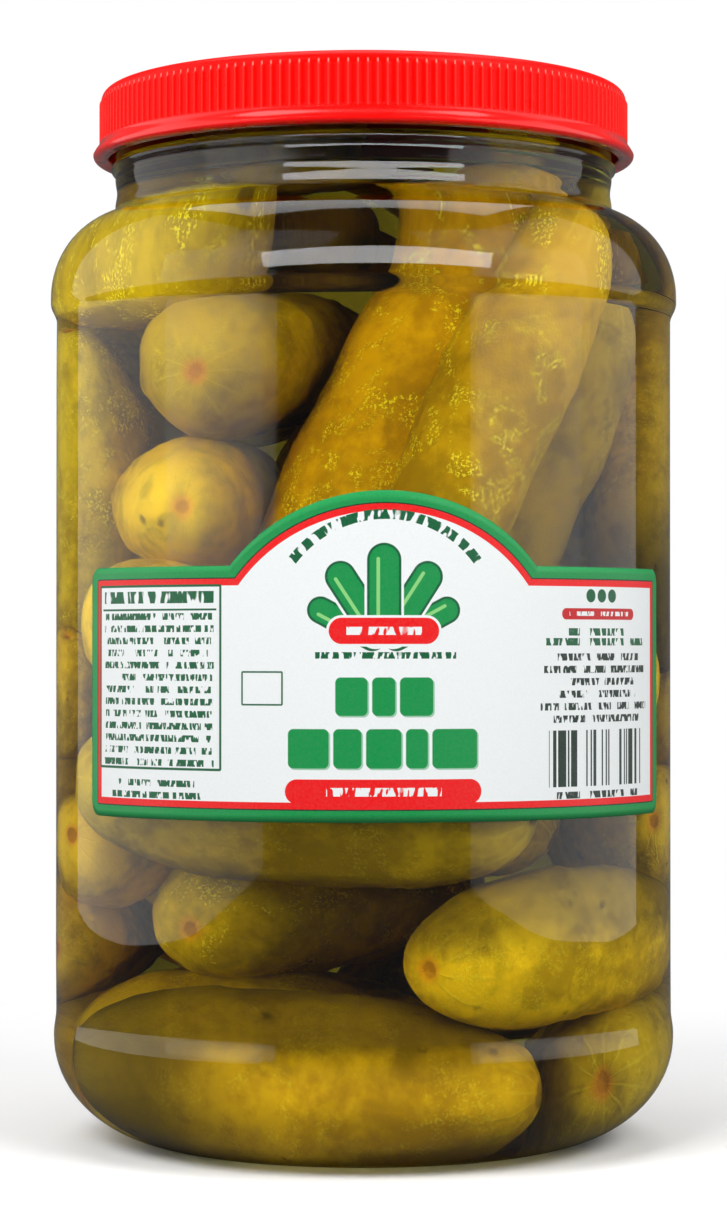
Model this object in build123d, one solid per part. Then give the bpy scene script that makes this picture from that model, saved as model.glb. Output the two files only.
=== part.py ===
"""A wide-mouth plastic pickle jar: clear blown body, screw cap, wrap label, brine.

Millimetres, +Z up. The origin is at the middle of the foot, the label faces -Y.
Every piece is turned about the Z axis, and the pieces fit each other by named gaps.
"""
from build123d import *
from math import acos, asin, cos, degrees, sin
import os

# body, from the foot up
BODY_D = 133.0        # outside diameter of the straight wall
BODY_TOP = 177.0      # where the straight wall ends
WALL = 0.8            # wall of the blown body
BASE_RISE = 22.8      # height of the rounded heel
BASE_RUN = 26.0       # how far the heel comes in
FOOT_IN_D = 66.0      # inner diameter of the flat ring that it stands on
PUSH_UP = 2.5         # how far the middle of the base is pushed up
LEDGE_OUT = 1.3       # the shoulder stands proud of the wall by this
LEDGE_RISE = 2.8      # height of the slope between wall and shoulder
LEDGE_ROUND = 1.2     # rounding of that slope's two edges
BAND_H = 1.7          # straight band at the widest part of the shoulder
DOME_RISE = 18.5      # height of the shoulder's dome
DOME_INSET = 2.7      # the dome's middle lies this far inside the neck wall
NECK_ROUND = 1.6      # hollow rounding where dome and neck meet

# neck, under and in the cap
NECK_D = 107.8        # outside diameter of the neck
NECK_H = 25.0         # from the top of the dome to the rim
WAIST_UP = 4.4        # shallow waist of the neck, above the top of the dome
WAIST_CUT = 0.35      # depth of that waist
WAIST_H = 6.0         # height of the waist
BEAD_UP = 9.6         # middle of the support bead, above the top of the dome
BEAD_OUT = 0.9        # how far the bead stands out
BEAD_H = 2.0          # height of the bead

# brine
FILL_GAP = 0.15       # clearance between brine and wall
HEAD_SPACE = 12.0     # air between the brine and the rim

# screw cap
CAP_GAP = 0.8         # clearance between the bead and the skirt
CAP_WALL = 1.4        # wall of the skirt
CAP_TOP = 1.6         # thickness of the top
CAP_SKIRT = 15.1      # height of the cap
CAP_ROUND = 2.3       # rounding of the top edge
FLARE_OUT = 1.7       # the lip stands out from the skirt by this
FLARE_LOW = 1.5       # height of the lip's widest line
FLARE_HIGH = 3.8      # height where the flare meets the skirt
LIP_ROUND = 1.2       # rounding of the lip's outer edge
RIB_COUNT = 180       # grip ribs
RIB_OUT = 0.4         # how far a rib stands out
RIB_W = 0.8           # width of a rib

# label
LABEL_W = 144.5       # width along the wall
LABEL_LOW = 71.7      # height of its lower edge
LABEL_H = 50.9        # height of its straight part
LABEL_T = 0.15        # thickness
LABEL_GAP = 0.05      # glue line between wall and label
LABEL_ROUND = 3.0     # corner radius
ARCH_W = 63.9         # width of the arch at the label's upper edge
ARCH_RISE = 14.8      # height of the arch over that edge
ARCH_SHIFT = -1.2     # the arch's middle, along the wall from the label's middle
ARCH_STEPS = 12       # stretches that the arch's wrapped curve is worked out at

body_r = BODY_D / 2
neck_r = NECK_D / 2
shoulder_r = body_r + LEDGE_OUT
ledge_top = BODY_TOP + LEDGE_RISE
dome_low = ledge_top + BAND_H
dome_top = dome_low + DOME_RISE
rim_z = dome_top + NECK_H
bead_r = neck_r + BEAD_OUT
skirt_in_r = bead_r + CAP_GAP
skirt_r = skirt_in_r + CAP_WALL
cap_z = rim_z + CAP_TOP - CAP_SKIRT


def round_edge(solid, radius, height, size):
    """The solid with its circular edge of that radius and height rounded."""
    def miss(edge):
        return abs(edge.radius - radius) + abs(edge.arc_center.Z - height)
    circles = solid.edges().filter_by(GeomType.CIRCLE)
    return fillet(min(circles, key=miss), size)


def vessel(inset, top):
    """The body as a solid, its skin moved inwards by inset and cut off at top."""
    side = body_r - inset
    wide = shoulder_r - inset
    neck = neck_r - inset
    foot_in = FOOT_IN_D / 2
    foot_out = body_r - BASE_RUN
    crown_r = neck_r - DOME_INSET
    dome_run = wide - crown_r
    dome_rise = DOME_RISE - inset
    dome_end = acos((neck - crown_r) / dome_run)
    dome_z = dome_low + dome_rise * sin(dome_end)
    axis_low = (0, PUSH_UP + inset)
    with BuildSketch(Plane.XZ) as outline:
        with BuildLine():
            TangentArc(axis_low, (foot_in, inset), tangent=(1, 0))
            Line((foot_in, inset), (foot_out, inset))
            EllipticalCenterArc(
                (foot_out, BASE_RISE), BASE_RUN - inset, BASE_RISE - inset, -90, arc_size=90
            )
            Polyline((side, BASE_RISE), (side, BODY_TOP), (wide, ledge_top), (wide, dome_low))
            EllipticalCenterArc((crown_r, dome_low), dome_run, dome_rise, 0, arc_size=degrees(dome_end))
            Polyline((neck, dome_z), (neck, top), (0, top), axis_low)
        make_face()
    solid = revolve(outline.sketch, Axis.Z)
    solid = round_edge(solid, side, BODY_TOP, LEDGE_ROUND)
    solid = round_edge(solid, wide, ledge_top, LEDGE_ROUND)
    return round_edge(solid, neck, dome_z, NECK_ROUND)


def swelling(low, high, size):
    """A ring on the neck's skin with a round section, from low to high, size deep."""
    middle = (neck_r + size, (low + high) / 2)
    with BuildSketch(Plane.XZ) as section:
        with BuildLine():
            ThreePointArc((neck_r, low), middle, (neck_r, high))
            Line((neck_r, high), (neck_r, low))
        make_face()
    return revolve(section.sketch, Axis.Z)


def jar():
    """The blown body: one wall from the push-up of the base to the rim."""
    waist_z = dome_top + WAIST_UP
    bead_z = dome_top + BEAD_UP
    waist = swelling(waist_z - WAIST_H / 2, waist_z + WAIST_H / 2, -WAIST_CUT)
    bead = swelling(bead_z - BEAD_H / 2, bead_z + BEAD_H / 2, BEAD_OUT)
    return vessel(0, rim_z) - waist + bead - vessel(WALL, rim_z + WALL)


def brine():
    """What fills the jar, up to its level in the neck."""
    return vessel(WALL + FILL_GAP, rim_z - HEAD_SPACE)


def cap():
    """The screw cap: ribbed skirt, flared lip, flat top resting on the rim."""
    top = rim_z + CAP_TOP
    lip_r = skirt_r + FLARE_OUT
    rib_low = cap_z + FLARE_HIGH
    rib_high = top - CAP_ROUND
    with BuildSketch(Plane.XZ) as section:
        with BuildLine():
            Polyline(
                (0, top), (skirt_r, top), (skirt_r, rib_low),
                (lip_r, cap_z + FLARE_LOW), (lip_r, cap_z), (skirt_in_r, cap_z),
                (skirt_in_r, rim_z), (0, rim_z), (0, top),
            )
        make_face()
    shell = revolve(section.sketch, Axis.Z)
    shell = round_edge(shell, skirt_r, top, CAP_ROUND)
    shell = round_edge(shell, lip_r, cap_z, LIP_ROUND)
    with BuildSketch(Plane.XY.offset(rib_low)) as comb:
        Circle(skirt_r)
        with PolarLocations(skirt_r, RIB_COUNT):
            Rectangle(2 * RIB_OUT, RIB_W)
        Circle(skirt_in_r, mode=Mode.SUBTRACT)
    return shell + extrude(comb.sketch, rib_high - rib_low)


def label():
    """The wrap label: a thin curved sheet whose upper edge rises in a round arch."""
    inner = body_r + LABEL_GAP
    outer = inner + LABEL_T
    half_turn = degrees(LABEL_W / 2 / outer)
    top = LABEL_LOW + LABEL_H
    with BuildSketch(Plane.XZ) as section:
        with Locations((inner + LABEL_T / 2, LABEL_LOW + LABEL_H / 2)):
            Rectangle(LABEL_T, LABEL_H)
    sheet = Rot(0, 0, -90 - half_turn) * revolve(section.sketch, Axis.Z, 2 * half_turn)
    corners = sheet.edges().filter_by(lambda edge: edge.length < 2 * LABEL_T)
    sheet = fillet(corners, LABEL_ROUND)
    return sheet + arch(inner, outer, top)


def arch(inner, outer, top):
    """The label's arch: part of a disc, wrapped round the wall over the straight edge."""
    disc_r = (ARCH_W ** 2 / 4 + ARCH_RISE ** 2) / (2 * ARCH_RISE)
    half = asin(ARCH_W / 2 / disc_r)
    curve = []
    for step in range(ARCH_STEPS + 1):
        turn = half * (2 * step / ARCH_STEPS - 1)
        along = ARCH_SHIFT + disc_r * sin(turn)
        height = top + ARCH_RISE - disc_r * (1 - cos(turn))
        curve.append((outer * sin(along / outer), height))
    with BuildSketch(Plane.XZ) as front:
        with BuildLine():
            Spline(*curve)
            Line(curve[-1], curve[0])
        make_face()
    with BuildSketch(Plane.XY.offset(top)) as band:
        Circle(outer)
        Circle(inner, mode=Mode.SUBTRACT)
    return extrude(band.sketch, ARCH_RISE) & extrude(front.sketch, 2 * outer)


os.makedirs("parts", exist_ok=True)
for name, shape in (("jar", jar()), ("brine", brine()), ("cap", cap()), ("label", label())):
    export_step(shape, "parts/" + name + ".step")
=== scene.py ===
"""A large clear jar of whole dill pickles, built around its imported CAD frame."""
import bpy
import numpy as np
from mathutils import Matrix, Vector


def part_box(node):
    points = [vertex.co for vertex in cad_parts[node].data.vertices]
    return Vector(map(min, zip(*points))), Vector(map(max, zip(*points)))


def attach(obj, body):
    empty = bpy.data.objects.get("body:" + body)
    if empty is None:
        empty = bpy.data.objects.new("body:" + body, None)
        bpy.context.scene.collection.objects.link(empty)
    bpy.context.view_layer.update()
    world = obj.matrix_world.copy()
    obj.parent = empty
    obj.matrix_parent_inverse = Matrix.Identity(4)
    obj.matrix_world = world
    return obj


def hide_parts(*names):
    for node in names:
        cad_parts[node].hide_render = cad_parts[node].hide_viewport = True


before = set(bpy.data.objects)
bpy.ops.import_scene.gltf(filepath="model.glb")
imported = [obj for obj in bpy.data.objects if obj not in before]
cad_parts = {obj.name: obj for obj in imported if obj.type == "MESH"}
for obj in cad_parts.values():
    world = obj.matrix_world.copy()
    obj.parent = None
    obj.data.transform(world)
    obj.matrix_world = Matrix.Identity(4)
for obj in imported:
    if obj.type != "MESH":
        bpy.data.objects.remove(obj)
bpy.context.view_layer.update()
MM = 0.001

# ---------------------------------------------------------------- studio
# A table-top set: a pale floor that runs white into the distance, a softbox on each side and
# one overhead, keys for cap and label, a bank that only shows as a gleam in the clear wall,
# fills for what is in the jar, and a long lens a little below the jar's middle.
CAMERA_AWAY = 716.2 * MM
CAMERA_HIGH = 107.1 * MM
CAMERA_TURN = np.radians(4.9)
AIM_HIGH = 114.5 * MM
LENS = 97.2
MIRRORED = 0.05             # share of the backdrop's white that a mirrored ray sees
ROOM_DIM = 0.07             # strength of the world for the light that falls on things
FLOOR_DIM = 0.12            # and of the far floor's glow
CARD_GLOW = (0.35, 0.05)    # the backdrop through glass: straight ahead, and to the sides
FLOOR_PAINT = (0.12, 0.9)   # grey that the floor throws on the jar, and the pale floor itself
SOFTBOX_SPREAD = np.radians(130)
LAMPS = [
    # name, centre, what it looks at, width, height, radiance, kind:
    # all lights everything and gleams, dull lights everything without a gleam, glass lights
    # and gleams in the clear wall alone, inside lights wall, brine and pickles without a gleam
    ("softbox_left", (-0.563, -0.132, 0.40), (-0.015, -0.179, 0.40), 1.18, 1.00, 0.60, "all"),
    ("softbox_right", (0.528, -0.276, 0.40), (-0.020, -0.229, 0.40), 0.97, 1.00, 0.60, "all"),
    ("key_left", (-0.50, -0.62, 0.72), (0, 0, 0.10), 0.60, 0.50, 9.0, "dull"),
    ("key_right", (0.50, -0.62, 0.72), (0, 0, 0.10), 0.60, 0.50, 7.2, "dull"),
    ("softbox_top", (0.0, 0.10, 0.90), (0, 0, 0.1), 0.80, 0.50, 1.5, "all"),
    ("front_bank", (0.0, -0.70, 0.42), (0, 0, 0.22), 1.20, 0.24, 7.0, "glass"),
    ("fill_left", (-0.80, -0.50, 0.34), (0, 0, 0.12), 0.80, 0.60, 11.5, "inside"),
    ("fill_right", (0.80, -0.50, 0.34), (0, 0, 0.12), 0.80, 0.60, 6.6, "inside"),
]


def aim(item, start, target):
    """Places an object at start, looking along its own -Z at target, +Y up."""
    item.location = start
    way = Vector(target) - Vector(start)
    item.rotation_euler = way.to_track_quat("-Z", "Y").to_euler()


def link(item):
    """Puts an object in the scene and gives it back."""
    bpy.context.scene.collection.objects.link(item)
    return item


view = bpy.context.scene.view_settings
view.view_transform = "Standard"

lens = bpy.data.cameras.new("camera")
lens.lens = LENS
lens.sensor_width = 36.0
camera = link(bpy.data.objects.new("camera", lens))
camera_spot = (-CAMERA_AWAY * np.sin(CAMERA_TURN), -CAMERA_AWAY * np.cos(CAMERA_TURN), CAMERA_HIGH)
aim(camera, camera_spot, (0, 0, AIM_HIGH))
bpy.context.scene.camera = camera

inside_things = bpy.data.collections.new("inside_things")
clear_things = bpy.data.collections.new("clear_things")
for name, centre, target, width, height, radiance, kind in LAMPS:
    panel = bpy.data.lights.new(name, "AREA")
    panel.shape = "RECTANGLE"
    panel.size = width
    panel.size_y = height
    panel.energy = radiance * np.pi * width * height
    panel.spread = SOFTBOX_SPREAD if kind == "all" else np.pi
    lamp = link(bpy.data.objects.new(name, panel))
    aim(lamp, centre, target)
    lamp.visible_camera = False
    lamp.visible_glossy = kind in ("all", "glass")
    lamp.visible_transmission = kind != "glass"
    if kind == "inside":
        lamp.light_linking.receiver_collection = inside_things
    if kind == "glass":
        lamp.light_linking.receiver_collection = clear_things


def new_material(name):
    """A material with an empty node tree, its tree and its output node."""
    material = bpy.data.materials.new(name)
    material.use_nodes = True
    tree = material.node_tree
    tree.nodes.clear()
    return material, tree, tree.nodes.new("ShaderNodeOutputMaterial")


def sums(tree, operation, first, second=None, third=None, clamp=False):
    """A Math node's output; each term is a number or another node's output."""
    node = tree.nodes.new("ShaderNodeMath")
    node.operation = operation
    node.use_clamp = clamp
    for socket, term in zip(node.inputs, (first, second, third)):
        if term is None:
            continue
        if isinstance(term, (int, float)):
            socket.default_value = term
        else:
            tree.links.new(term, socket)
    return node.outputs[0]


def product(tree, first, second):
    """One term times the other."""
    return sums(tree, "MULTIPLY", first, second)


def less(tree, first, second):
    """The first term less the second."""
    return sums(tree, "SUBTRACT", first, second)


def ramp(tree, value, low, high, start=0.0, end=1.0):
    """A smooth step of value, from start at low to end at high."""
    node = tree.nodes.new("ShaderNodeMapRange")
    node.interpolation_type = "SMOOTHSTEP"
    tree.links.new(value, node.inputs["Value"])
    node.inputs["From Min"].default_value = low
    node.inputs["From Max"].default_value = high
    node.inputs["To Min"].default_value = start
    node.inputs["To Max"].default_value = end
    return node.outputs["Result"]


def seen_directly(tree, behind, ahead):
    """How white the backdrop is to a ray: one for what the camera sees.

    A ray bent through glass sees it where ahead is one, as a card of limited width, and a
    mirrored ray sees a small share of it where behind is one. Light that has left a dull
    surface doesn't see it at all.
    """
    path = tree.nodes.new("ShaderNodeLightPath")
    mirrored = sums(tree, "GREATER_THAN", path.outputs["Glossy Depth"], 0.5)
    bent = product(tree, less(tree, 1.0, mirrored), ahead)
    whole = sums(tree, "MULTIPLY_ADD", mirrored, product(tree, behind, MIRRORED), bent)
    through = sums(tree, "MAXIMUM", path.outputs["Is Transmission Ray"], path.outputs["Is Glossy Ray"])
    clear = sums(tree, "LESS_THAN", path.outputs["Diffuse Depth"], 0.5)
    through = product(tree, product(tree, through, clear), whole)
    return sums(tree, "MAXIMUM", path.outputs["Is Camera Ray"], through)


world = bpy.data.worlds.new("studio")
bpy.context.scene.world = world
world.use_nodes = True
sky = world.node_tree
sky.nodes.clear()
way = sky.nodes.new("ShaderNodeSeparateXYZ")
sky.links.new(sky.nodes.new("ShaderNodeTexCoord").outputs["Generated"], way.inputs[0])
ahead = ramp(sky, sums(sky, "ABSOLUTE", way.outputs[0]), 0.12, 0.30, *CARD_GLOW)
backdrop = seen_directly(sky, ramp(sky, way.outputs[1], 0.0, 0.3), ahead)
white = sky.nodes.new("ShaderNodeBackground")
white.inputs["Strength"].default_value = 1.0
dim = sky.nodes.new("ShaderNodeBackground")
dim.inputs["Strength"].default_value = ROOM_DIM
for node in (white, dim):
    node.inputs["Color"].default_value = (1, 1, 1, 1)
both = sky.nodes.new("ShaderNodeMixShader")
sky.links.new(backdrop, both.inputs["Fac"])
sky.links.new(dim.outputs[0], both.inputs[1])
sky.links.new(white.outputs[0], both.inputs[2])
out = sky.nodes.new("ShaderNodeOutputWorld")
sky.links.new(both.outputs[0], out.inputs["Surface"])

floor_mesh = bpy.data.meshes.new("floor")
floor_mesh.from_pydata([(-9, -9, 0), (9, -9, 0), (9, 9, 0), (-9, 9, 0)], [], [(0, 1, 2, 3)])
floor = link(bpy.data.objects.new("floor", floor_mesh))
floor_paint, tree, out = new_material("floor_paint")
spot = tree.nodes.new("ShaderNodeTexCoord").outputs["Object"]
flat = tree.nodes.new("ShaderNodeVectorMath")
flat.operation = "LENGTH"
tree.links.new(spot, flat.inputs[0])
far = ramp(tree, flat.outputs["Value"], 0.09, 0.28)
card = tree.nodes.new("ShaderNodeBsdfDiffuse")
glow = tree.nodes.new("ShaderNodeEmission")
place = tree.nodes.new("ShaderNodeSeparateXYZ")
tree.links.new(spot, place.inputs[0])
ahead = ramp(tree, sums(tree, "ABSOLUTE", place.outputs[0]), 0.05, 0.20, *CARD_GLOW)
lit = seen_directly(tree, ramp(tree, place.outputs[1], 0.0, 0.3), ahead)
tree.links.new(ramp(tree, lit, 0.0, 1.0, FLOOR_DIM, 1.0), glow.inputs["Strength"])
paint = tree.nodes.new("ShaderNodeCombineColor")
for channel in paint.inputs:
    tree.links.new(ramp(tree, lit, 0.0, 1.0, *FLOOR_PAINT), channel)
tree.links.new(paint.outputs[0], card.inputs["Color"])
fade = tree.nodes.new("ShaderNodeMixShader")
tree.links.new(far, fade.inputs["Fac"])
tree.links.new(card.outputs[0], fade.inputs[1])
tree.links.new(glow.outputs[0], fade.inputs[2])
tree.links.new(fade.outputs[0], out.inputs["Surface"])
floor_mesh.materials.append(floor_paint)

# ---------------------------------------------------------------- jar
# The body is one piece of clear blown polyester, under a millimetre thick: a rounded heel,
# a straight wall, a shoulder that stands a little proud of it, and a neck with a support bead.
WALL = 0.8 * MM
BODY_R = 66.5 * MM
SHOULDER_R = 67.8 * MM
NECK_R = 53.9 * MM
HEEL_UP = 22.8 * MM
HEEL_RUN = 26.0 * MM
FOOT_IN = 33.0 * MM
PUSH_UP = 2.5 * MM
WALL_TOP = 177.0 * MM
LEDGE_TOP = 179.8 * MM
DOME_LOW = 181.5 * MM
DOME_RISE = 18.5 * MM
CROWN_R = 51.2 * MM
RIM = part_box("jar")[1][2]
BRINE_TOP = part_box("brine")[1][2]
PLASTIC_IOR = 1.5
BRINE_IOR = 1.34
STEP_OUT = 0.5 * MM
STEP_LOW = 23.3 * MM
STEP_HIGH = 28.3 * MM
LEDGE_SOFT = 0.6 * MM
NECK_FOOT = 200.2 * MM
WAIST_AT = 204.4 * MM
WAIST_HALF = 3 * MM
WAIST_CUT = 0.35 * MM
BEAD_AT = 209.6 * MM
BEAD_HALF = 1 * MM
BEAD_OUT = 0.9 * MM
STREAK_SLOPE = 0.0035
STREAK_WAVES = (5, 9, 16, 27, 41, 58)
AROUND = 192


def smooth(value, low, high):
    """Three x squared less two x cubed, x being how far value is from low to high."""
    x = np.clip((value - low) / (high - low), 0, 1)
    return x * x * (3 - 2 * x)


def skin_line(inset, top, steps=24, neck_rows=24):
    """The body's outline as (radius, height) rows, moved inwards by inset, foot to top.

    Foot: an arc from the pushed-up middle to the flat ring. Heel: a quarter ellipse, a
    little wider than the wall over it, which it meets in a smooth step.
    Ledge: a smooth step. Dome: part of an ellipse, run into the neck by a smooth blend.
    """
    turn = np.linspace(0, 1, steps)
    foot = np.stack([FOOT_IN * turn, inset + PUSH_UP * (1 - turn ** 2)], 1)
    foot_out = BODY_R - HEEL_RUN
    angle = turn * np.pi / 2
    heel = np.stack([
        foot_out + (HEEL_RUN + STEP_OUT - inset) * np.sin(angle),
        HEEL_UP - (HEEL_UP - inset) * np.cos(angle),
    ], 1)
    straight = np.array([35, 40, 130, 165, 171]) * MM
    wall_z = np.concatenate([np.linspace(HEEL_UP, 30 * MM, 14)[1:], straight, [WALL_TOP - 1 * MM]])
    wall_r = BODY_R - inset + STEP_OUT * (1 - smooth(wall_z, STEP_LOW, STEP_HIGH))
    wall = np.stack([wall_r, wall_z], 1)
    ledge_z = np.linspace(WALL_TOP - 1 * MM, LEDGE_TOP + 1 * MM, steps)[1:]
    step = smooth(ledge_z, WALL_TOP - LEDGE_SOFT, LEDGE_TOP + LEDGE_SOFT)
    ledge = np.stack([BODY_R + (SHOULDER_R - BODY_R) * step - inset, ledge_z], 1)
    run = SHOULDER_R - inset - CROWN_R
    rise = DOME_RISE - inset
    dome_end = np.arccos((NECK_R - inset - CROWN_R) / run)
    join_z = DOME_LOW + rise * np.sin(dome_end)
    angle = np.linspace(0, dome_end, 2 * steps)
    dome = np.stack([CROWN_R + run * np.cos(angle), DOME_LOW + rise * np.sin(angle)], 1)
    neck_z = np.linspace(join_z, top, neck_rows)[1:]
    neck = np.stack([np.full_like(neck_z, NECK_R - inset), neck_z], 1)
    line = np.concatenate([foot, heel, wall, ledge, dome, neck])
    near = np.abs(line[:, 1] - join_z) < 4 * MM
    rounded = line.copy()
    for _ in range(10):
        rounded[1:-1] = (rounded[:-2] + 2 * rounded[1:-1] + rounded[2:]) / 4
    line[near] = rounded[near]
    return line


def neck_form(line):
    """Adds the neck's shallow waist, a squared cosine, and its bead, a half ellipse."""
    radius, height = line[:, 0], line[:, 1]
    on_neck = (height > NECK_FOOT) & (radius < NECK_R + 0.5 * MM)
    waist_x = np.clip((height - WAIST_AT) / WAIST_HALF, -1, 1)
    waist = WAIST_CUT * np.cos(waist_x * np.pi / 2) ** 2
    bead_x = np.clip((height - BEAD_AT) / BEAD_HALF, -1, 1)
    bead = BEAD_OUT * np.sqrt(1 - bead_x ** 2)
    line[:, 0] = radius + on_neck * (bead - waist)
    return line


def solid_of(name, rings, low_pole, high_pole, closed=False):
    """A mesh from rows of points round the axis, each end closed by one point or left open.

    Quads join row i to row i + 1 and column j to j + 1, the last column to the first;
    a pole is one vertex with a fan of triangles. closed joins the last row to the first.
    The UV map holds (column / columns, row / rows).
    """
    rows, columns = rings.shape[:2]
    here = np.arange(rows * columns).reshape(rows, columns)
    across = np.roll(here, -1, axis=1)
    upper = np.roll(here, -1, axis=0)
    upper_across = np.roll(across, -1, axis=0)
    last = rows if closed else rows - 1
    quads = np.stack([here, across, upper_across, upper], -1)[:last].reshape(-1, 4)
    verts = [rings.reshape(-1, 3)]
    faces = quads.tolist()
    u = np.arange(columns) / columns
    step = 1 / columns
    v = np.arange(rows + 1) / rows
    corner_u = np.stack([u, u + step, u + step, u], -1)[None].repeat(last, 0).reshape(-1, 4)
    corner_v = np.stack([v[:last], v[:last], v[1:last + 1], v[1:last + 1]], -1)
    corner_v = corner_v[:, None].repeat(columns, 1).reshape(-1, 4)
    uv = [np.stack([corner_u, corner_v], -1).reshape(-1, 2)]
    count = rows * columns
    for pole, row, flip, height in ((low_pole, 0, True, 0.0), (high_pole, rows - 1, False, 1.0)):
        if pole is None:
            continue
        verts.append(np.array([pole]))
        a, b = here[row], np.roll(here[row], -1)
        centre = np.full(columns, count)
        fan = np.stack([b, a, centre] if flip else [a, b, centre], 1)
        faces += fan.tolist()
        fan_u = np.stack([u + step, u, u + step / 2] if flip else [u, u + step, u + step / 2], 1)
        fan_v = np.stack([np.full(columns, v[row])] * 2 + [np.full(columns, height)], 1)
        uv.append(np.stack([fan_u, fan_v], -1).reshape(-1, 2))
        count += 1
    mesh = bpy.data.meshes.new(name)
    mesh.from_pydata(np.concatenate(verts).tolist(), [], faces)
    mesh.uv_layers.new(name="UVMap").data.foreach_set("uv", np.concatenate(uv).ravel())
    mesh.polygons.foreach_set("use_smooth", np.ones(len(faces), bool))
    mesh.update()
    return link(bpy.data.objects.new(name, mesh))


def turned(name, line, columns=AROUND, ripple=0.0):
    """A body of revolution about Z from (radius, height) rows; a row at radius 0 is a pole.

    ripple is added to the radius, as one number or a (row, column) table.
    """
    angle = np.arange(columns) * 2 * np.pi / columns
    low = line[0] if line[0, 0] < 1e-9 else None
    high = line[-1] if line[-1, 0] < 1e-9 else None
    ring = line[(1 if low is not None else 0):(-1 if high is not None else None)]
    reach = ring[:, :1] + ripple
    rings = np.stack([
        reach * np.cos(angle),
        reach * np.sin(angle),
        np.repeat(ring[:, 1:], columns, 1),
    ], -1)
    low_pole = None if low is None else (0, 0, low[1])
    high_pole = None if high is None else (0, 0, high[1])
    return solid_of(name, rings, low_pole, high_pole, closed=low is None and high is None)


outside = neck_form(skin_line(0, RIM, neck_rows=72))
inside = skin_line(WALL, RIM)
profile = np.concatenate([outside, inside[::-1]])
# upright streaks of the blow mould: sines round the straight wall's outer face
draw = np.random.default_rng(5)
angle = np.arange(AROUND) * 2 * np.pi / AROUND
streaks = sum(np.sin(k * angle + draw.uniform(0, 6)) / k for k in STREAK_WAVES)
height = profile[1:-1, 1]
on_wall = smooth(height, 30 * MM, 40 * MM) * (1 - smooth(height, 165 * MM, 176 * MM))
on_wall *= np.arange(1, len(profile) - 1) < len(outside)
ripple = STREAK_SLOPE * BODY_R * on_wall[:, None] * streaks
jar = turned("jar_body", profile, ripple=ripple)

plastic, tree, out = new_material("clear_plastic")
glass = tree.nodes.new("ShaderNodeBsdfPrincipled")
glass.inputs["Base Color"].default_value = (0.97, 0.985, 0.97, 1)
glass.inputs["Roughness"].default_value = 0.0
glass.inputs["IOR"].default_value = PLASTIC_IOR
glass.inputs["Transmission Weight"].default_value = 1.0
tree.links.new(glass.outputs[0], out.inputs["Surface"])
jar.data.materials.append(plastic)

# where brine lies against the wall's inner face, light bends only from plastic to brine
wetted = plastic.copy()
wetted.name = "clear_plastic_wetted"
wetted.node_tree.nodes["Principled BSDF"].inputs["IOR"].default_value = PLASTIC_IOR / BRINE_IOR
jar.data.materials.append(wetted)
# (one flag for each strip of faces, then one for the outer and one for the inner foot's fan)
wet = (np.arange(len(profile)) >= len(outside)) & (profile[:, 1] < BRINE_TOP)
wet = np.append(wet[1:-2], [False, True]).astype(np.int32)
jar.data.polygons.foreach_set("material_index", wet.repeat(AROUND))
inside_things.objects.link(jar)
clear_things.objects.link(jar)
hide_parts("jar")
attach(jar, "root")

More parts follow.
